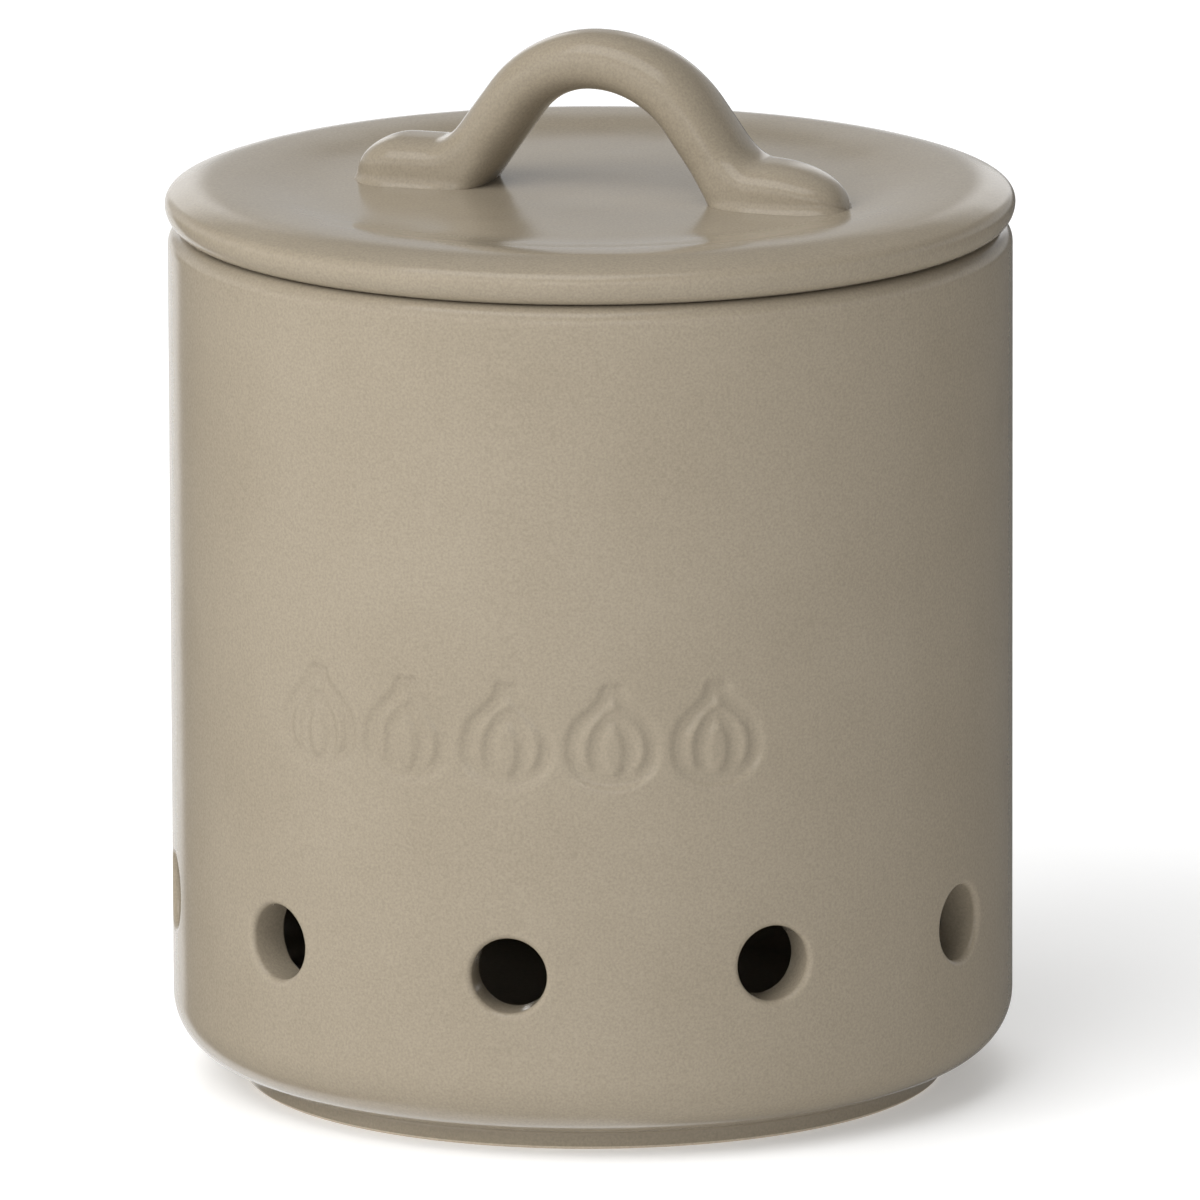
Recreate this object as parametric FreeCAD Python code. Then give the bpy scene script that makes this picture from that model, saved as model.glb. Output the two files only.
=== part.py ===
import FreeCAD, Part
import math
import os

# Ceramic garlic keeper, millimetres: a vented canister, a loose lid and the lid's loop handle.
# The origin is the centre of the foot ring's underside, +Z is up, and -Y is the front.

# Canister wall and floor
outer_radius = 62.5
seam_height = 128.2
wall = 6.5
floor_thickness = 6.5
floor_corner_radius = 9.0
rim_outer_rounding = 2.6
rim_inner_rounding = 2.0

# Lower edge, which curves in and then slopes down to the foot ring
lower_curve_start = 12.6
lower_curve_radius = 8.9
lower_curve_turn = 66.5

# Foot ring
foot_radius = 52.2
foot_flare = 0.3
foot_height = 2.8
foot_ring_width = 5.5
foot_recess = 2.2
foot_edge_rounding = 0.6

# Ring of vent holes near the base
vent_count = 10
vent_radius = 5.15
vent_height = 29.0
vent_outer_rounding = 0.8
vent_inner_rounding = 0.5

# Lid plate: sunken panel, raised rim and a full rounded edge
lid_overhang = 0.4
lid_edge_height = 3.5
lid_under_rounding = 3.5
lid_crest_radius = 54.5
lid_crest_height = 6.6
lid_shoulder_turn = 22.0
lid_panel_radius = 36.0
lid_panel_height = 5.2
lid_dish_share = 0.54
lid_thickness = 5.4

# Ring under the lid, which drops inside the rim and keeps the lid centred
flange_clearance = 1.0
flange_width = 5.0
flange_depth = 8.0
flange_edge_rounding = 1.2
flange_root_rounding = 2.5

# Loop handle, measured on the line through the middle of its bar
handle_turn = -9.5
handle_off_centre = 1.4
handle_rise = 19.8
handle_arch_radius = 18.7
handle_leg_slope = 54.0
handle_bend_radius = 8.5
handle_foot_rise = 3.1
handle_foot_reach = 33.0
handle_top_half_width = 6.4
handle_top_half_thickness = 4.2
handle_leg_half_width = 6.9
handle_leg_half_thickness = 4.4
handle_foot_half_width = 7.4
handle_foot_half_thickness = 3.6

UP = FreeCAD.Vector(0, 0, 1)
ORIGIN = FreeCAD.Vector(0, 0, 0)


def at(radius, height):
    """A point of a turned profile, in the X-Z half plane."""
    return FreeCAD.Vector(radius, 0, height)


def line(start, end):
    return Part.LineSegment(start, end).toShape()


def arc(centre, radius, start_angle, end_angle):
    """Arc in the profile plane, with its angles in degrees from +X towards +Z."""
    middle_angle = (start_angle + end_angle) / 2
    points = []
    for angle in (start_angle, middle_angle, end_angle):
        turn = math.radians(angle)
        points.append(at(centre.x + radius * math.cos(turn), centre.z + radius * math.sin(turn)))
    return Part.Arc(*points).toShape()


def end_of(edge):
    return edge.valueAt(edge.LastParameter)


def start_of(edge):
    return edge.valueAt(edge.FirstParameter)


def turned(curves):
    """Revolve a chain of profile edges, closed by straight lines where its ends lie apart."""
    edges = []
    for index, edge in enumerate(curves):
        edges.append(edge)
        following = curves[(index + 1) % len(curves)]
        if end_of(edge).distanceToPoint(start_of(following)) > 1e-6:
            edges.append(line(end_of(edge), start_of(following)))
    face = Part.Face(Part.Wire(edges))
    return face.revolve(ORIGIN, UP, 360)


def canister_outline():
    """Profile from the centre of the recess, out round the wall and down the inside."""
    inner_radius = outer_radius - wall
    floor_top = foot_recess + floor_thickness
    ring_inner = foot_radius - foot_ring_width
    curve_centre = at(outer_radius - lower_curve_radius, lower_curve_start)
    lower_curve = arc(curve_centre, lower_curve_radius, -lower_curve_turn, 0)
    slope_drop = start_of(lower_curve).z - foot_height
    slope_run = slope_drop * math.tan(math.radians(lower_curve_turn))
    slope_foot = at(start_of(lower_curve).x - slope_run, foot_height)
    foot_corner = at(foot_radius - foot_edge_rounding, foot_edge_rounding)
    return [
        line(at(0, foot_recess), at(ring_inner - foot_edge_rounding, foot_recess)),
        arc(at(ring_inner - foot_edge_rounding, foot_recess - foot_edge_rounding),
            foot_edge_rounding, 90, 0),
        arc(at(ring_inner + foot_edge_rounding, foot_edge_rounding), foot_edge_rounding, 180, 270),
        arc(foot_corner, foot_edge_rounding, -90, 0),
        line(at(foot_radius + foot_flare, foot_height), slope_foot),
        lower_curve,
        arc(at(outer_radius - rim_outer_rounding, seam_height - rim_outer_rounding),
            rim_outer_rounding, 0, 90),
        arc(at(inner_radius + rim_inner_rounding, seam_height - rim_inner_rounding),
            rim_inner_rounding, 90, 180),
        arc(at(inner_radius - floor_corner_radius, floor_top + floor_corner_radius),
            floor_corner_radius, 0, -90),
        line(at(0, floor_top), at(0, foot_recess)),
    ]


def vent_bore(index):
    """One radial bore through the wall, from inside the wall's inner face to outside it."""
    bore = Part.makeCylinder(
        vent_radius, wall * 2, FreeCAD.Vector(0, wall / 2 - outer_radius - wall, vent_height),
        FreeCAD.Vector(0, 1, 0))
    return bore.rotate(ORIGIN, UP, index * 360 / vent_count)


def vent_edges(shape, wall_radius):
    """The closed edges where the bores meet the wall face of the given radius."""
    found = []
    for edge in shape.Edges:
        box = edge.BoundBox
        level = abs(box.Center.z - vent_height) < 0.1 and box.ZLength < vent_radius * 3
        point = edge.valueAt((edge.FirstParameter + edge.LastParameter) / 2)
        if level and box.ZLength > vent_radius and abs(math.hypot(point.x, point.y) - wall_radius) < 0.1:
            found.append(edge)
    return found


def make_canister():
    shape = turned(canister_outline())
    for index in range(vent_count):
        shape = shape.cut(vent_bore(index))
    shape = shape.makeFillet(vent_outer_rounding, vent_edges(shape, outer_radius))
    shape = shape.makeFillet(vent_inner_rounding, vent_edges(shape, outer_radius - wall))
    return shape


def shoulder_radii():
    """Radii of the two tangent arcs that carry the lid's crest over to its upright edge."""
    turn = math.radians(lid_shoulder_turn)
    run = outer_radius + lid_overhang - lid_crest_radius
    drop = lid_crest_height - lid_edge_height
    determinant = math.sin(turn) * math.cos(turn) - (1 - math.sin(turn)) * (1 - math.cos(turn))
    shoulder = (run * math.cos(turn) - drop * (1 - math.sin(turn))) / determinant
    edge = (drop * math.sin(turn) - run * (1 - math.cos(turn))) / determinant
    return shoulder, edge


def dish_curves(panel_level, crest_level):
    """The two tangent arcs from the sunken panel up to the crest."""
    run = lid_crest_radius - lid_panel_radius
    rise = crest_level - panel_level
    slope = 2 * math.atan(rise / run)
    hollow = run * lid_dish_share / math.sin(slope)
    crown = run * (1 - lid_dish_share) / math.sin(slope)
    degrees = math.degrees(slope)
    return [
        arc(at(lid_panel_radius, panel_level + hollow), hollow, -90, -90 + degrees),
        arc(at(lid_crest_radius, crest_level - crown), crown, 90 + degrees, 90),
    ]


def lid_outline():
    """Profile from the middle of the panel, out over the rim and back along the underside."""
    panel_level = seam_height + lid_panel_height
    crest_level = seam_height + lid_crest_height
    edge_level = seam_height + lid_edge_height
    lid_radius = outer_radius + lid_overhang
    underside = panel_level - lid_thickness
    flange_outer = outer_radius - wall - flange_clearance
    flange_inner = flange_outer - flange_width
    flange_foot = seam_height - flange_depth
    shoulder, edge = shoulder_radii()
    return [
        line(at(0, panel_level), at(lid_panel_radius, panel_level)),
        *dish_curves(panel_level, crest_level),
        arc(at(lid_crest_radius, crest_level - shoulder), shoulder, 90, 90 - lid_shoulder_turn),
        arc(at(lid_radius - edge, edge_level), edge, 90 - lid_shoulder_turn, 0),
        arc(at(lid_radius - lid_under_rounding, seam_height + lid_under_rounding),
            lid_under_rounding, 0, -90),
        line(at(lid_radius - lid_under_rounding, seam_height), at(flange_outer, seam_height)),
        arc(at(flange_outer - flange_edge_rounding, flange_foot + flange_edge_rounding),
            flange_edge_rounding, 0, -90),
        arc(at(flange_inner + flange_edge_rounding, flange_foot + flange_edge_rounding),
            flange_edge_rounding, -90, -180),
        arc(at(flange_inner - flange_root_rounding, underside - flange_root_rounding),
            flange_root_rounding, 0, 90),
        line(at(0, underside), at(0, panel_level)),
    ]


def make_lid():
    return turned(lid_outline())


def bar_line():
    """Half of the bar's middle line: an arch, a straight leg, a bend outwards and a foot."""
    slope = math.radians(handle_leg_slope)
    curved_drop = (handle_arch_radius + handle_bend_radius) * (1 - math.cos(slope))
    leg_drop = handle_rise - handle_foot_rise - curved_drop
    arch = arc(at(0, handle_rise - handle_arch_radius), handle_arch_radius, 90, 90 - handle_leg_slope)
    leg_start = end_of(arch)
    leg_end = leg_start + FreeCAD.Vector(leg_drop / math.tan(slope), 0, -leg_drop)
    bend_centre = leg_end + FreeCAD.Vector(math.sin(slope), 0, math.cos(slope)) * handle_bend_radius
    bend = arc(bend_centre, handle_bend_radius, 270 - handle_leg_slope, 270)
    foot = line(end_of(bend), at(handle_foot_reach, handle_foot_rise))
    return arch, line(leg_start, leg_end), bend, foot


def oval(middle, slope, half_width, half_thickness):
    """Oval across the bar where its middle line falls by the given angle in degrees."""
    across = middle + FreeCAD.Vector(0, half_width, 0)
    turn = math.radians(slope)
    through = middle + FreeCAD.Vector(math.sin(turn), 0, math.cos(turn)) * half_thickness
    return Part.Wire(Part.Ellipse(across, through, middle).toShape())


def bar_piece(edges, first_oval, last_oval):
    """Bar along some edges of its middle line, from one oval to another."""
    pipe = Part.BRepOffsetAPI.MakePipeShell(Part.Wire(edges))
    pipe.setBiNormalMode(FreeCAD.Vector(0, 1, 0))
    pipe.add(first_oval)
    pipe.add(last_oval)
    pipe.build()
    pipe.makeSolid()
    return pipe.shape()


def leg_root(leg, leg_oval):
    """The leg carried straight on into the lid, which fills the corner under the bend."""
    run = end_of(leg) - start_of(leg)
    run.normalize()
    depth = end_of(leg).z / math.sin(math.radians(handle_leg_slope))
    return Part.Face(leg_oval).extrude(run * depth)


def foot_end():
    """Rounded end of a foot: half a ball of the foot's width, flattened to its thickness."""
    ball = Part.makeSphere(
        handle_foot_half_width, ORIGIN, FreeCAD.Vector(1, 0, 0), 0, 90, 360)
    flatten = FreeCAD.Matrix()
    flatten.scale(1, 1, handle_foot_half_thickness / handle_foot_half_width)
    end = ball.transformGeometry(flatten)
    end.translate(at(handle_foot_reach, handle_foot_rise))
    return end


def handle_half():
    """Bar from the top of the arch to one foot, wider and flatter towards the foot."""
    arch, leg, bend, foot = bar_line()
    top_oval = oval(start_of(arch), 0, handle_top_half_width, handle_top_half_thickness)
    leg_oval = oval(end_of(leg), handle_leg_slope, handle_leg_half_width, handle_leg_half_thickness)
    foot_oval = oval(end_of(foot), 0, handle_foot_half_width, handle_foot_half_thickness)
    upper = bar_piece([arch, leg], top_oval, leg_oval)
    lower = bar_piece([bend, foot], leg_oval, foot_oval)
    return upper.fuse([lower, leg_root(leg, leg_oval), foot_end()])


def make_handle(lid):
    """Two like halves that meet at the top, seated on the lid all along their feet."""
    half = handle_half()
    other_half = half.copy()
    other_half.rotate(ORIGIN, UP, 180)
    handle = half.fuse(other_half)
    handle.translate(FreeCAD.Vector(handle_off_centre, 0, seam_height + lid_panel_height))
    handle.rotate(ORIGIN, UP, handle_turn)
    return handle.cut(lid)


def save(shape, name):
    """Write one node, which has to be a single closed solid."""
    solids = shape.Solids
    if len(solids) != 1 or not solids[0].isValid():
        raise ValueError(f"{name}: {len(solids)} solids, or a solid that is not valid")
    solids[0].exportStep(f"parts/{name}.step")
    print(name, "volume", round(solids[0].Volume), "box", solids[0].BoundBox)


def main():
    os.makedirs("parts", exist_ok=True)
    lid = make_lid()
    save(make_canister(), "canister")
    save(lid, "lid")
    save(make_handle(lid), "lid_handle")


main()
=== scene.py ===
import math

import bmesh
import bpy
import numpy as np
from mathutils import Matrix, Vector, noise


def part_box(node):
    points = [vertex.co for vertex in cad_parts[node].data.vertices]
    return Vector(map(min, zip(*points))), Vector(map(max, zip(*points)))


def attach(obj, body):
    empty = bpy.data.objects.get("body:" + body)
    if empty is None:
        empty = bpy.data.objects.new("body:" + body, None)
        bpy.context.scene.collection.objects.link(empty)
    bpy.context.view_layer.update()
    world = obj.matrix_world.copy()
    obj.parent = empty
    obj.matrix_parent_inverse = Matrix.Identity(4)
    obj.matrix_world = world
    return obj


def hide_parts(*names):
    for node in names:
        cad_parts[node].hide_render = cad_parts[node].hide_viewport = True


# Stoneware garlic keeper in satin glaze. Lengths are millimetres, turned into metres by MM.
# +Z is up and -Y is the front, where one vent hole lies on the centre line.
MM = 0.001

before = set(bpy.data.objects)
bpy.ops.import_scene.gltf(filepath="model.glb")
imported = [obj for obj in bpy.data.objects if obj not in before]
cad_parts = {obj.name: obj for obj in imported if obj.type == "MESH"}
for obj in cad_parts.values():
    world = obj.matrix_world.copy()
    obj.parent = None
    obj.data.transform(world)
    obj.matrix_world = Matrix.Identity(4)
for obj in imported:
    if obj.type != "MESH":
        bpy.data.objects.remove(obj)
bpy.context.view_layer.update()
canister_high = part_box("canister")[1]
lid_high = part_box("lid")[1]
handle_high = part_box("lid_handle")[1]

# Sizes taken from the frame
wall_radius = canister_high.x / MM
seam_height = canister_high.z / MM
lid_radius = lid_high.x / MM
handle_top = handle_high.z / MM

# Canister
wall = 6.5
floor_top = 8.7
floor_corner_radius = 9.0
rim_outer_rounding = 2.6
rim_inner_rounding = 2.0
lower_curve_start = 12.6
lower_curve_radius = 8.9
lower_curve_turn = 66.5
foot_radius = 52.2
foot_height = 2.8
foot_groove = 0.2
groove_above_foot = 0.1
groove_below_foot = 0.6
groove_lip_run = 0.9
groove_lip_rise = 0.25
foot_ring_width = 5.5
foot_recess = 2.2
foot_rounding = 0.8
bare_clay_height = 0.48

# Vent holes
vent_count = 10
vent_radius = 5.6
vent_height = 29.0
vent_outer_rounding = 1.0
vent_inner_rounding = 0.6
vent_drift = {0: (0, -0.7), 1: (0.8, 0.0), 9: (-0.75, 0)}
vent_patch_low = 18.0
vent_patch_high = 41.0
vent_side_steps = 22
vent_rings = 9
vent_ring_crowding = 1.6
vent_rounding_steps = 8

# Lid
lid_edge_level = 3.5
lid_under_rounding = 3.5
lid_crest_radius = 54.5
lid_crest_level = 6.6
lid_shoulder_turn = 22.0
lid_panel_radius = 36.0
lid_panel_level = 5.2
lid_dish_share = 0.54
lid_thickness = 5.4
flange_outer_radius = 55.0
flange_inner_radius = 50.0
flange_depth = 8.0
flange_edge_rounding = 1.2
flange_root_rounding = 2.5
panel_waviness = 0.035
panel_wave_length = 9.0
panel_wave_fade = 6.0
panel_zone = 1.0

# Handle, in its own upright plane: reach is measured from its middle, rise from the lid's panel.
# Each side has the radius of its half of the arch, the reach and length of its foot's tip, how
# far the foot lies above the common level, and how far its end swings towards the front.
handle_left = {"arch": 15.6, "end": 37.4, "tip": 7.2, "lift": -0.4, "swing": 0.8}
handle_right = {"arch": 18.7, "end": 40.2, "tip": 14.0, "lift": -0.6, "swing": 2.6}
handle_turn = -9.5
handle_off_centre = 1.4
handle_leg_slope = 54.0
handle_bend_radius = 10.0
handle_foot_rise = 3.3
handle_top_half_width = 6.4
handle_top_half_thickness = 4.3
handle_leg_half_width = 6.9
handle_leg_half_thickness = 4.4
handle_foot_half_width = 7.9
handle_foot_half_thickness = 3.7
handle_squareness = 2.3
handle_foot_squareness = 5.0
handle_bend_blend = 1.5
handle_skirt = 1.6
handle_skirt_share = 0.25
handle_skirt_depth = 0.4
handle_skirt_fade = 3.0
handle_tip_flare = 0.4
handle_sink = 1.2
handle_thinnest = 0.05

# Row of impressed garlic bulbs on the front
motif_count = 5
motif_pitch = 15.6
motif_height = 64.3
motif_stroke = 1.0
motif_edge = 0.75
motif_depth = 0.42
motif_reach = 10.0
motif_half_band = 9.0
motif_row_step = 0.45

# Steps of the meshes
fine_step = 0.5
coarse_step = 1.6
arc_step = 0.35
curve_step = 0.6
gentle_step = 1.0
panel_step = 1.2
wall_step = 1.5
medium_step = 2.0
high_wall_step = 3.0
flat_step = 6.0
lid_around = 300
handle_around = 96
handle_step = 0.25
pole = 0.01
surface_margin = 0.01
point_gap = 1e-4
merge_distance = 0.002


def arc(centre, radius, start, end, step=arc_step):
    """Points of a profile arc, with its angles in degrees from outwards towards up."""
    count = max(3, math.ceil(abs(math.radians(end - start)) * radius / step))
    angles = np.radians(np.linspace(start, end, count + 1))
    return [(centre[0] + radius * math.cos(a), centre[1] + radius * math.sin(a)) for a in angles]


def stretch(start, end, step):
    """Points of a straight stretch of a profile, both ends among them."""
    length = math.dist(start, end)
    count = max(1, math.ceil(length / step))
    return [tuple(p) for p in np.linspace(start, end, count + 1)]


def outline(*parts):
    """One list of profile points from several, with no point twice in a row."""
    points = []
    for part in parts:
        for point in part:
            if not points or math.dist(points[-1], point) > point_gap:
                points.append(point)
    return points


def new_piece(name, vertices, faces, body, node):
    """A smooth closed mesh in metres, in place of the CAD node that it stands for."""
    mesh = bpy.data.meshes.new(name)
    mesh.from_pydata([tuple(v) for v in np.asarray(vertices) * MM], [], faces)
    work = bmesh.new()
    work.from_mesh(mesh)
    bmesh.ops.remove_doubles(work, verts=work.verts, dist=merge_distance * MM)
    bmesh.ops.recalc_face_normals(work, faces=work.faces)
    work.to_mesh(mesh)
    work.free()
    mesh.polygons.foreach_set("use_smooth", [True] * len(mesh.polygons))
    piece = bpy.data.objects.new(name, mesh)
    bpy.context.scene.collection.objects.link(piece)
    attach(piece, body)
    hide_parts(node)
    return piece


def turned_rows(profile, azimuths):
    """Vertices of profile points turned to each azimuth, measured from the front towards +X."""
    profile = np.asarray(profile)
    azimuths = np.asarray(azimuths)
    x = np.outer(profile[:, 0], np.sin(azimuths))
    y = np.outer(profile[:, 0], -np.cos(azimuths))
    z = np.repeat(profile[:, 1:2], len(azimuths), axis=1)
    return np.stack([x, y, z], axis=-1)


def grid_faces(rows, columns, first):
    """Quads of a grid of vertices whose indices run round each closed row in turn."""
    faces = []
    for row in range(rows - 1):
        for column in range(columns):
            following = (column + 1) % columns
            a = first + row * columns
            b = a + columns
            faces.append((a + column, a + following, b + following, b + column))
    return faces


# Canister

def patch_columns(index):
    """Azimuths across one vent's patch of wall, fine where the motif lies and both ends included."""
    width = math.tau / vent_count
    near_front = min(index, vent_count - index) <= 1
    step = fine_step if near_front else coarse_step
    count = round(width * wall_radius / step)
    return index * width + np.linspace(-width / 2, width / 2, count + 1)


def bezier(points, count=24):
    """Points along a cubic curve."""
    t = np.linspace(0, 1, count)[:, None]
    p = [np.asarray(point, float) for point in points]
    return ((1 - t) ** 3 * p[0] + 3 * (1 - t) ** 2 * t * p[1]
            + 3 * (1 - t) * t ** 2 * p[2] + t ** 3 * p[3])


def bulb_strokes():
    """Lines of one garlic bulb: neck and body outline, and two lines between its cloves."""
    neck = bezier([(0.8, 7.0), (0.9, 3.6), (6.0, 3.4), (5.9, -1.9)])
    base = bezier([(5.9, -1.9), (5.8, -5.6), (2.8, -6.6), (0, -6.6)])
    clove = bezier([(0.35, 3.0), (2.9, 0.6), (3.1, -3.2), (1.5, -5.9)])
    strokes = []
    for side in (1, -1):
        for stroke in (neck, base, clove):
            strokes.append(stroke * np.array([side, 1]))
    return strokes


def distance_to(stroke, points):
    """Distance of each point from a line of short straight runs."""
    best = np.full(len(points), np.inf)
    for start, end in zip(stroke[:-1], stroke[1:]):
        run = end - start
        along = np.clip((points - start) @ run / max(run @ run, 1e-9), 0, 1)
        best = np.minimum(best, np.linalg.norm(points - start - along[:, None] * run, axis=1))
    return best


def motif_press(azimuth, height):
    """Depth of the impressed motif at points of the wall."""
    flat = np.stack([azimuth * wall_radius, height - motif_height], axis=-1)
    depth = np.zeros(len(flat))
    for place in range(motif_count):
        middle = (place - (motif_count - 1) / 2) * motif_pitch
        local = flat - np.array([middle, 0])
        near = np.abs(local).max(axis=1) < motif_reach
        reach = np.full(near.sum(), np.inf)
        for stroke in bulb_strokes():
            reach = np.minimum(reach, distance_to(stroke, local[near]))
        level = np.clip((motif_stroke + motif_edge / 2 - reach) / motif_edge, 0, 1)
        depth[near] = np.maximum(depth[near], motif_depth * level * level * (3 - 2 * level))
    return depth


def vent_patch(index, columns, radius, outward, rounding):
    """Rings of vertices from the edge of a vent's patch of wall in to its bore."""
    middle = index * math.tau / vent_count
    drift = np.array(vent_drift.get(index, (0, 0)))
    levels = np.linspace(vent_patch_low, vent_patch_high, vent_side_steps + 1)
    across = (columns - middle) * radius
    edge = [(a, vent_patch_low) for a in across[:-1]]
    edge += [(across[-1], level) for level in levels[:-1]]
    edge += [(a, vent_patch_high) for a in across[:0:-1]]
    edge += [(across[0], level) for level in levels[:0:-1]]
    edge = np.asarray(edge) - np.array([0, vent_height]) - drift
    angle = np.arctan2(edge[:, 1], edge[:, 0])
    circle = np.stack([np.cos(angle), np.sin(angle)], axis=-1)
    mouth = (vent_radius + rounding) * circle
    mouth[:, 0] = radius * np.arcsin(mouth[:, 0] / radius)
    rings = []
    for share in np.linspace(0, 1, vent_rings + 1):
        flat = edge + (mouth - edge) * (1 - (1 - share) ** vent_ring_crowding) + drift
        turn = flat[:, 0] / radius
        rings.append((radius * np.sin(turn), radius * np.cos(turn), flat[:, 1]))
    for bend in np.radians(np.linspace(0, 90, vent_rounding_steps + 1))[1:]:
        ring = (vent_radius + rounding * (1 - math.sin(bend))) * circle + drift
        inset = rounding * (1 - math.cos(bend)) * outward
        rings.append((ring[:, 0], np.sqrt(radius ** 2 - ring[:, 0] ** 2) - inset, ring[:, 1]))
    return rings


def place_rings(rings, middle):
    """Rings given across, along and above a vent's axis, put at its azimuth."""
    placed = []
    for across, along, above in rings:
        x = along * math.sin(middle) + across * math.cos(middle)
        y = -along * math.cos(middle) + across * math.sin(middle)
        placed.append(np.stack([x, y, above + vent_height], axis=-1))
    return placed


def canister_profiles():
    """Outline in three stretches, broken at the band of vents: foot, wall and rim, and inside."""
    inner_radius = wall_radius - wall
    ring_inner = foot_radius - foot_ring_width
    curve_centre = (wall_radius - lower_curve_radius, lower_curve_start)
    lower_curve = arc(curve_centre, lower_curve_radius, -lower_curve_turn, 0, curve_step)
    start = lower_curve[0]
    run = (start[1] - foot_height) * math.tan(math.radians(lower_curve_turn))
    groove = (start[0] - run - foot_groove, foot_height + groove_above_foot)
    below = outline(
        stretch((pole, foot_recess), (ring_inner - foot_rounding, foot_recess), flat_step),
        arc((ring_inner - foot_rounding, foot_recess - foot_rounding), foot_rounding, 90, 0),
        arc((ring_inner + foot_rounding, foot_rounding), foot_rounding, 180, 270),
        arc((foot_radius - foot_rounding, foot_rounding), foot_rounding, -90, 0),
        [(foot_radius, foot_height - groove_below_foot), groove],
        stretch((groove[0] + groove_lip_run, groove[1] + groove_lip_rise), start, wall_step),
        lower_curve,
        stretch((wall_radius, lower_curve_start), (wall_radius, vent_patch_low), wall_step))
    motif_low = (wall_radius, motif_height - motif_half_band)
    motif_high = (wall_radius, motif_height + motif_half_band)
    above = outline(
        stretch((wall_radius, vent_patch_high), motif_low, medium_step),
        stretch(motif_low, motif_high, motif_row_step),
        stretch(motif_high, (wall_radius, seam_height - rim_outer_rounding), high_wall_step),
        arc((wall_radius - rim_outer_rounding, seam_height - rim_outer_rounding),
            rim_outer_rounding, 0, 90),
        arc((inner_radius + rim_inner_rounding, seam_height - rim_inner_rounding),
            rim_inner_rounding, 90, 180),
        stretch((inner_radius, seam_height - rim_inner_rounding), (inner_radius, vent_patch_high),
                flat_step))
    inside = outline(
        [(inner_radius, vent_patch_low)],
        arc((inner_radius - floor_corner_radius, floor_top + floor_corner_radius),
            floor_corner_radius, 0, -90, gentle_step),
        stretch((inner_radius - floor_corner_radius, floor_top), (pole, floor_top), flat_step))
    return below, above, inside


def make_canister():
    vertices = []
    faces = []

    def add_grid(rows):
        rows = np.asarray(rows)
        faces.extend(grid_faces(rows.shape[0], rows.shape[1], len(vertices)))
        vertices.extend(rows.reshape(-1, 3))

    patches = [patch_columns(index) for index in range(vent_count)]
    azimuths = np.concatenate([patch[:-1] for patch in patches])
    signed = (azimuths + math.pi) % math.tau - math.pi
    for profile in canister_profiles():
        rows = turned_rows(profile, azimuths)
        height = rows[..., 2].ravel()
        radius = np.hypot(rows[..., 0], rows[..., 1]).ravel()
        turn = np.tile(signed, len(profile))
        outside = radius > wall_radius - surface_margin
        pressed = outside & (np.abs(height - motif_height) < motif_half_band)
        depth = np.zeros(len(height))
        depth[pressed] = motif_press(turn[pressed], height[pressed])
        scale = ((radius - depth) / radius).reshape(rows.shape[:2])
        rows[..., 0] *= scale
        rows[..., 1] *= scale
        add_grid(rows)
    for index, columns in enumerate(patches):
        middle = index * math.tau / vent_count
        outer = vent_patch(index, columns, wall_radius, 1, vent_outer_rounding)
        inner = vent_patch(index, columns, wall_radius - wall, -1, vent_inner_rounding)
        add_grid(place_rings(outer + inner[::-1], middle))
    canister = new_piece("canister_body", vertices, faces, "canister", "canister")
    canister.data.materials.append(glaze)
    canister.data.materials.append(bare_clay)
    for polygon in canister.data.polygons:
        on_ring = math.hypot(polygon.center.x, polygon.center.y) > (foot_radius - foot_ring_width) * MM
        if on_ring and polygon.center.z < bare_clay_height * MM:
            polygon.material_index = 1
    return canister


# Lid

def dish_arcs():
    """Radii of the hollow and of the crown between panel and crest, and their turn in degrees."""
    run = lid_crest_radius - lid_panel_radius
    rise = lid_crest_level - lid_panel_level
    slope = 2 * math.atan(rise / run)
    hollow = run * lid_dish_share / math.sin(slope)
    crown = run * (1 - lid_dish_share) / math.sin(slope)
    return hollow, crown, math.degrees(slope)


def lid_profile():
    """Outline from the middle of the panel over the crest and round the edge to the underside."""
    hollow, crown, slope = dish_arcs()
    turn = math.radians(lid_shoulder_turn)
    run = lid_radius - lid_crest_radius
    drop = lid_crest_level - lid_edge_level
    determinant = math.sin(turn) * math.cos(turn) - (1 - math.sin(turn)) * (1 - math.cos(turn))
    shoulder = (run * math.cos(turn) - drop * (1 - math.sin(turn))) / determinant
    edge = (drop * math.sin(turn) - run * (1 - math.cos(turn))) / determinant
    underside = lid_panel_level - lid_thickness
    edge_rounding = flange_edge_rounding
    root = flange_root_rounding
    return outline(
        stretch((pole, lid_panel_level), (lid_panel_radius, lid_panel_level), panel_step),
        arc((lid_panel_radius, lid_panel_level + hollow), hollow, -90, -90 + slope, panel_step),
        arc((lid_crest_radius, lid_crest_level - crown), crown, 90 + slope, 90, gentle_step),
        arc((lid_crest_radius, lid_crest_level - shoulder), shoulder, 90, 90 - lid_shoulder_turn,
            curve_step),
        arc((lid_radius - edge, lid_edge_level), edge, 90 - lid_shoulder_turn, 0),
        arc((lid_radius - lid_under_rounding, lid_under_rounding), lid_under_rounding, 0, -90),
        stretch((lid_radius - lid_under_rounding, 0), (flange_outer_radius, 0), medium_step),
        arc((flange_outer_radius - edge_rounding, edge_rounding - flange_depth),
            edge_rounding, 0, -90),
        arc((flange_inner_radius + edge_rounding, edge_rounding - flange_depth),
            edge_rounding, -90, -180),
        arc((flange_inner_radius - root, underside - root), root, 0, 90),
        stretch((flange_inner_radius - root, underside), (pole, underside), flat_step))


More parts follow.
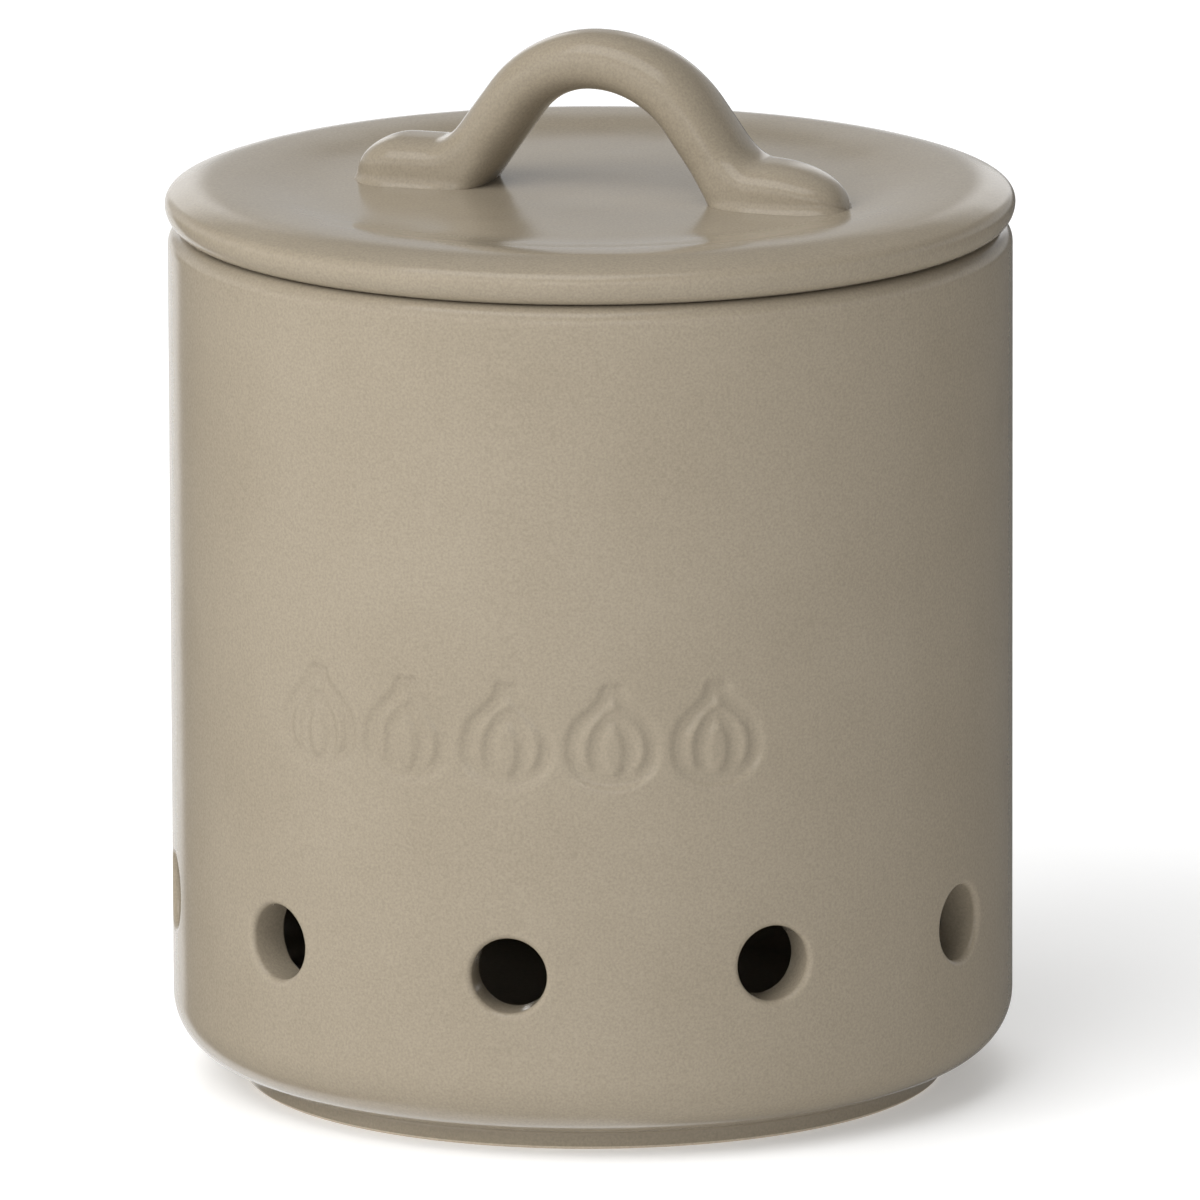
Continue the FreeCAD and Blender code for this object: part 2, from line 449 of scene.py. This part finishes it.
def make_lid():
    profile = [(radius, level + seam_height) for radius, level in lid_profile()]
    azimuths = np.arange(lid_around) * math.tau / lid_around
    rows = turned_rows(profile, azimuths)
    vertices = rows.reshape(-1, 3)
    for vertex in vertices:
        radius = math.hypot(vertex[0], vertex[1])
        if vertex[2] > seam_height + panel_zone and radius < lid_crest_radius:
            fade = min(1, (lid_crest_radius - radius) / panel_wave_fade)
            wave = noise.noise(Vector(vertex) / panel_wave_length)
            vertex[2] += panel_waviness * fade * wave
    faces = grid_faces(len(profile), len(azimuths), 0)
    lid = new_piece("lid_plate", vertices, faces, "lid", "lid")
    lid.data.materials.append(glaze)
    return lid


# Handle

def ease(value):
    value = min(1, max(0, value))
    return value * value * (3 - 2 * value)


def mix(low, high, share):
    return low + (high - low) * share


def soft_min(first, second, reach):
    """The smaller of two lengths, rounded off where they are within reach of each other."""
    share = max(0, reach - abs(first - second)) / reach
    return min(first, second) - share * share * reach / 4


def handle_sections(side):
    """The bar at short steps from its top to a foot's tip. Each step has its middle, its slope,
    how far it has bent back at the foot, and how much of a leg and of a foot it is."""
    slope = math.radians(handle_leg_slope)
    rise = handle_top - handle_top_half_thickness - seam_height - lid_panel_level
    curved_drop = (side["arch"] + handle_bend_radius) * (1 - math.cos(slope))
    leg_length = (rise - handle_foot_rise - curved_drop) / math.sin(slope)
    leg_end = side["arch"] * slope + leg_length
    foot_start = leg_end + handle_bend_radius * slope
    place = np.array([0.0, rise])
    travelled = 0
    sections = []
    while place[0] < side["end"] + handle_step:
        bent = min(slope, max(0, travelled - leg_end) / handle_bend_radius)
        angle = min(slope, travelled / side["arch"]) - bent
        to_leg = ease(travelled / leg_end)
        to_foot = ease((travelled - leg_end) / (foot_start - leg_end))
        sections.append((place.copy(), angle, bent, to_leg, to_foot))
        place = place + handle_step * np.array([math.cos(angle), -math.sin(angle)])
        travelled += handle_step
    return sections


def skirt_spread(level):
    """How far the bar spreads at a height over the panel, where glaze fills the corner."""
    lowest = handle_skirt_share * handle_skirt
    if level > handle_skirt:
        return 0
    short = handle_skirt - max(level, lowest)
    chord = math.sqrt(handle_skirt ** 2 - short ** 2)
    return handle_skirt - chord + max(0, lowest - max(level, -handle_skirt_depth)) * short / chord


def handle_ring(section, side):
    """One ring of the bar: an oval above, drawn down into the lid where the bar lies on it.
    A skirt of glaze fills the corner along the foot, and its end swings towards the front."""
    place, angle, bent, to_leg, to_foot = section
    half_width = mix(mix(handle_top_half_width, handle_leg_half_width, to_leg),
                     handle_foot_half_width, to_foot)
    above = mix(mix(handle_top_half_thickness, handle_leg_half_thickness, to_leg),
                handle_foot_half_thickness, to_foot)
    tip = min(1, max(0, (place[0] - side["end"] + side["tip"]) / side["tip"]))
    end = math.sqrt(1 - tip * tip)
    rise = (place[1] + side["lift"] * to_foot) * end
    below = above
    if bent > 0:
        to_panel = (rise + handle_sink) / math.cos(angle)
        straight_on = (above + handle_bend_radius * (1 - math.cos(bent))) / math.cos(bent)
        below = soft_min(to_panel, straight_on, handle_bend_blend)
    half_width = max(handle_thinnest, half_width * end)
    above = max(handle_thinnest, above * end)
    squareness = mix(handle_squareness, handle_foot_squareness, to_foot)
    half_reach = side["end"] / 2
    swung = side["swing"] * (max(0, place[0] - half_reach) / half_reach) ** 2
    outwards = Vector((tip / side["tip"], end / handle_foot_half_width)).normalized()
    ring = []
    for index in range(handle_around):
        turn = math.tau * index / handle_around
        across = math.cos(turn)
        lift = math.sin(turn)
        power = squareness if lift < 0 else handle_squareness
        size = (abs(across) ** power + abs(lift) ** power) ** (1 / power)
        across = across / size
        lift = lift / size
        if lift < 0:
            lift *= below / above
        reach = place[0] + above * lift * math.sin(angle)
        level = rise + above * lift * math.cos(angle)
        sideways = half_width * across
        if lift < 0:
            spread = skirt_spread(level) * to_foot * min(1, handle_skirt_fade * abs(across))
            reach += handle_tip_flare * spread * outwards.x
            sideways += spread * math.copysign(outwards.y, across)
        ring.append((reach, sideways - swung, level))
    return ring


def make_handle():
    """The whole loop from the left foot's tip over its top to the right one's."""
    right = [handle_ring(section, handle_right) for section in handle_sections(handle_right)]
    left = [handle_ring(section, handle_left) for section in handle_sections(handle_left)]
    left = [[(-x, y, z) for x, y, z in ring] for ring in left[:0:-1]]
    rings = np.asarray(left + right)
    faces = grid_faces(len(rings), handle_around, 0)
    last = (len(rings) - 1) * handle_around
    faces.append(tuple(range(handle_around)))
    faces.append(tuple(range(last, last + handle_around)))
    turn = Matrix.Rotation(math.radians(handle_turn), 3, "Z")
    middle = Vector((handle_off_centre, 0, seam_height + lid_panel_level))
    vertices = [turn @ (Vector(vertex) + middle) for vertex in rings.reshape(-1, 3)]
    handle = new_piece("lid_handle_bar", vertices, faces, "lid", "lid_handle")
    handle.data.materials.append(glaze)
    return handle


# Materials: colours, and noise scales in cells to a metre

glaze_dark = (0.298, 0.254, 0.189)
glaze_pale = (0.317, 0.272, 0.205)
grain_dark = (0.70, 0.69, 0.68)
grain_share = 0.6
mottle_scale = 45
grain_scale = 2600
satin_scale = 260
glaze_roughest = 0.21
glaze_smoothest = 0.13
glaze_ior = 1.46
broad_wave_scale = 95
broad_wave_height = 0.08
fine_wave_scale = 900
fine_wave_height = 0.006
clay_dark = (0.47, 0.39, 0.30)
clay_pale = (0.62, 0.54, 0.43)
clay_roughness = 0.85
sand_scale = 2200
sand_height = 0.05


def new_material(name):
    material = bpy.data.materials.new(name)
    material.use_nodes = True
    nodes = material.node_tree.nodes
    return material, nodes, material.node_tree.links, nodes["Principled BSDF"]


def noise_node(nodes, links, scale, detail=2.0, roughness=0.5):
    """Noise over the object's own coordinates."""
    place = nodes.new("ShaderNodeTexCoord")
    texture = nodes.new("ShaderNodeTexNoise")
    texture.inputs["Scale"].default_value = scale
    texture.inputs["Detail"].default_value = detail
    texture.inputs["Roughness"].default_value = roughness
    links.new(place.outputs["Object"], texture.inputs["Vector"])
    return texture.outputs["Fac"]


def range_node(nodes, links, source, low, high, lowest=0.0, highest=1.0):
    """A value taken from the range low to high onto the range lowest to highest."""
    node = nodes.new("ShaderNodeMapRange")
    node.inputs["From Min"].default_value = low
    node.inputs["From Max"].default_value = high
    node.inputs["To Min"].default_value = lowest
    node.inputs["To Max"].default_value = highest
    links.new(source, node.inputs["Value"])
    return node.outputs["Result"]


def ramp_node(nodes, links, source, stops):
    """Colours by a value, from a list of places and colours."""
    node = nodes.new("ShaderNodeValToRGB")
    ramp = node.color_ramp
    ramp.elements[0].position = stops[0][0]
    ramp.elements[0].color = (*stops[0][1], 1)
    ramp.elements[1].position = stops[-1][0]
    ramp.elements[1].color = (*stops[-1][1], 1)
    for position, color in stops[1:-1]:
        element = ramp.elements.new(position)
        element.color = (*color, 1)
    links.new(source, node.inputs["Fac"])
    return node.outputs["Color"]


def blend_node(nodes, links, first, second, kind="MIX"):
    """Two colours, linked or fixed, mixed or multiplied. The caller sets or links the share."""
    node = nodes.new("ShaderNodeMix")
    node.data_type = "RGBA"
    node.blend_type = kind
    for socket, color in (("A", first), ("B", second)):
        if isinstance(color, tuple):
            node.inputs[socket].default_value = color
        else:
            links.new(color, node.inputs[socket])
    return node, node.outputs["Result"]


def bump_node(nodes, links, height, distance):
    node = nodes.new("ShaderNodeBump")
    node.inputs["Distance"].default_value = distance * MM
    links.new(height, node.inputs["Height"])
    return node


def make_glaze():
    """Satin taupe glaze: soft mottling, fine grain and a faintly uneven surface."""
    material, nodes, links, shader = new_material("taupe_glaze")
    mottle = noise_node(nodes, links, mottle_scale, 3)
    ground = ramp_node(nodes, links, mottle, [(0.3, glaze_dark), (0.7, glaze_pale)])
    grain = noise_node(nodes, links, grain_scale, 2, 0.6)
    grained = ramp_node(nodes, links, grain, [(0.3, grain_dark), (0.7, (1, 1, 1))])
    blend, color = blend_node(nodes, links, ground, grained, "MULTIPLY")
    blend.inputs["Factor"].default_value = grain_share
    links.new(color, shader.inputs["Base Color"])
    satin = noise_node(nodes, links, satin_scale, 3)
    roughness = range_node(nodes, links, satin, 0, 1, glaze_smoothest, glaze_roughest)
    links.new(roughness, shader.inputs["Roughness"])
    shader.inputs["IOR"].default_value = glaze_ior
    broad = bump_node(nodes, links, noise_node(nodes, links, broad_wave_scale, 1), broad_wave_height)
    fine = bump_node(nodes, links, noise_node(nodes, links, fine_wave_scale, 1), fine_wave_height)
    links.new(broad.outputs["Normal"], fine.inputs["Normal"])
    links.new(fine.outputs["Normal"], shader.inputs["Normal"])
    return material


def make_bare_clay():
    """Unglazed fired clay on the foot ring, matt and a little sandy."""
    material, nodes, links, shader = new_material("bare_clay")
    sand = noise_node(nodes, links, sand_scale, 4, 0.7)
    color = ramp_node(nodes, links, sand, [(0.3, clay_dark), (0.7, clay_pale)])
    links.new(color, shader.inputs["Base Color"])
    shader.inputs["Roughness"].default_value = clay_roughness
    bump = bump_node(nodes, links, sand, sand_height)
    links.new(bump.outputs["Normal"], shader.inputs["Normal"])
    return material


# Studio, in metres: a pale floor, soft light and the camera

floor_half_width = 6.0
floor_grey = 0.9
floor_roughness = 0.9
floor_glow = 0.26

light_distance = 1.6
light_size = (1.4, 1.2)
light_target = (0, 0, 0.07)

# What the glaze mirrors of the room: brightness over the far horizon, of two strips beside it
# that light the lid's rim, of the ceiling and of the floor. Each list has places across the
# camera's view, from -1 at the left to 1 at the right, and the brightness there. Heights run
# from 0 at the horizon to 1 overhead.
horizon_glow = 0.54
rim_glow = 1.3
ceiling_glow = 0.13
floor_mirror = 1.05
ceiling_start = 0.27
ceiling_full = 0.42
rim_strip = [(0.06, horizon_glow), (0.10, rim_glow), (0.22, rim_glow), (0.30, horizon_glow)]
near_floor = [(-1, 0.3), (1, 0.25)]
far_floor = [(-0.48, 0.1), (-0.42, 1), (0.02, 1), (0.10, 0.12)]
far_side = 0.3
seam_of_floor = 0.02

camera_turn = 11.5
camera_reach = 3.1231
camera_height = 0.76125
camera_pitch = math.radians(12.46)
camera_yaw = 0.0004
camera_roll = -0.0037
camera_lens = 646.3
camera_sensor = 36
camera_sight = 50


def make_floor():
    """A plain floor. The glaze mirrors the surroundings instead, as a flagged studio floor."""
    mesh = bpy.data.meshes.new("studio_floor")
    half = floor_half_width
    corners = [(-half, -half, 0), (half, -half, 0), (half, half, 0), (-half, half, 0)]
    mesh.from_pydata(corners, [], [(0, 1, 2, 3)])
    floor = bpy.data.objects.new("studio_floor", mesh)
    bpy.context.scene.collection.objects.link(floor)
    material, nodes, links, shader = new_material("studio_floor")
    shader.inputs["Base Color"].default_value = (floor_grey, floor_grey, floor_grey, 1)
    shader.inputs["Roughness"].default_value = floor_roughness
    shader.inputs["Emission Color"].default_value = (1, 1, 1, 1)
    shader.inputs["Emission Strength"].default_value = floor_glow
    mesh.materials.append(material)
    floor.visible_glossy = False
    return floor


def soft_light(name, azimuth, elevation, watts, mirrored=False):
    """A soft panel aimed at the keeper, its azimuth in degrees from the camera's side towards +X."""
    aim = Vector(light_target)
    turn = math.radians(azimuth + camera_turn)
    lift = math.radians(elevation)
    flat = Vector((math.sin(turn), -math.cos(turn), 0)) * math.cos(lift)
    data = bpy.data.lights.new(name, "AREA")
    data.shape = "RECTANGLE"
    data.size, data.size_y = light_size
    data.energy = watts
    light = bpy.data.objects.new(name, data)
    light.location = aim + light_distance * (flat + Vector((0, 0, math.sin(lift))))
    light.rotation_euler = (aim - light.location).to_track_quat("-Z", "Y").to_euler()
    light.visible_camera = False
    light.visible_glossy = mirrored
    bpy.context.scene.collection.objects.link(light)
    return light


def make_lights():
    soft_light("key_light", -40, 38, 16.5)
    soft_light("side_light", -70, 30, 7)
    soft_light("low_light", -15, 8, 7)
    soft_light("back_light", 180, 40, 10.5)
    soft_light("top_light", -30, 70, 8.5, True)


def grey_ramp(nodes, links, source, stops, scale=1.0):
    """Greys by a value from -1 to 1, which is taken onto the ramp's 0 to 1."""
    spread = range_node(nodes, links, source, -1, 1)
    return ramp_node(nodes, links, spread, [((x + 1) / 2, (level * scale,) * 3) for x, level in stops])


def make_world():
    """Surroundings that the glaze mirrors, turned to the camera: X across its view, Y away from it."""
    world = bpy.data.worlds.new("studio_world")
    bpy.context.scene.world = world
    world.use_nodes = True
    nodes = world.node_tree.nodes
    links = world.node_tree.links
    place = nodes.new("ShaderNodeTexCoord")
    facing = nodes.new("ShaderNodeMapping")
    facing.inputs["Rotation"].default_value = (0, 0, -math.radians(camera_turn))
    links.new(place.outputs["Generated"], facing.inputs["Vector"])
    split = nodes.new("ShaderNodeSeparateXYZ")
    links.new(facing.outputs["Vector"], split.inputs["Vector"])
    across, away, up = split.outputs
    left_strip = [(-x, level) for x, level in reversed(rim_strip)]
    horizon = grey_ramp(nodes, links, across, left_strip + rim_strip)
    ceiling = (ceiling_glow, ceiling_glow, ceiling_glow, 1)
    upper, above = blend_node(nodes, links, horizon, ceiling)
    links.new(range_node(nodes, links, up, ceiling_start, ceiling_full), upper.inputs["Factor"])
    near = grey_ramp(nodes, links, across, near_floor, floor_mirror)
    far = grey_ramp(nodes, links, across, far_floor, floor_mirror)
    lower, below = blend_node(nodes, links, near, far)
    links.new(range_node(nodes, links, away, 0, far_side), lower.inputs["Factor"])
    whole, glow = blend_node(nodes, links, below, above)
    seam = range_node(nodes, links, up, -seam_of_floor, seam_of_floor)
    links.new(seam, whole.inputs["Factor"])
    links.new(glow, nodes["Background"].inputs["Color"])


def make_camera():
    """Long lens, a little above the lid, aimed as in the photograph."""
    data = bpy.data.cameras.new("camera")
    data.lens = camera_lens
    data.sensor_width = camera_sensor
    data.clip_end = camera_sight
    camera = bpy.data.objects.new("camera", data)
    right = Vector((math.cos(camera_yaw), -math.sin(camera_yaw), 0))
    ahead = Vector((math.sin(camera_yaw), math.cos(camera_yaw), 0))
    level = Vector((0, 0, 1))
    forward = ahead * math.cos(camera_pitch) - level * math.sin(camera_pitch)
    up = ahead * math.sin(camera_pitch) + level * math.cos(camera_pitch)
    side = right * math.cos(camera_roll) + up * math.sin(camera_roll)
    top = up * math.cos(camera_roll) - right * math.sin(camera_roll)
    facing = Matrix((side, top, -forward)).transposed()
    turn = Matrix.Rotation(math.radians(camera_turn), 3, "Z")
    place = turn @ Vector((0, -camera_reach, camera_height))
    camera.matrix_world = Matrix.Translation(place) @ (turn @ facing).to_4x4()
    bpy.context.scene.collection.objects.link(camera)
    bpy.context.scene.camera = camera


glaze = make_glaze()
bare_clay = make_bare_clay()
make_canister()
make_lid()
make_handle()
make_floor()
make_lights()
make_world()
make_camera()
bpy.context.scene.view_settings.view_transform = "Standard"
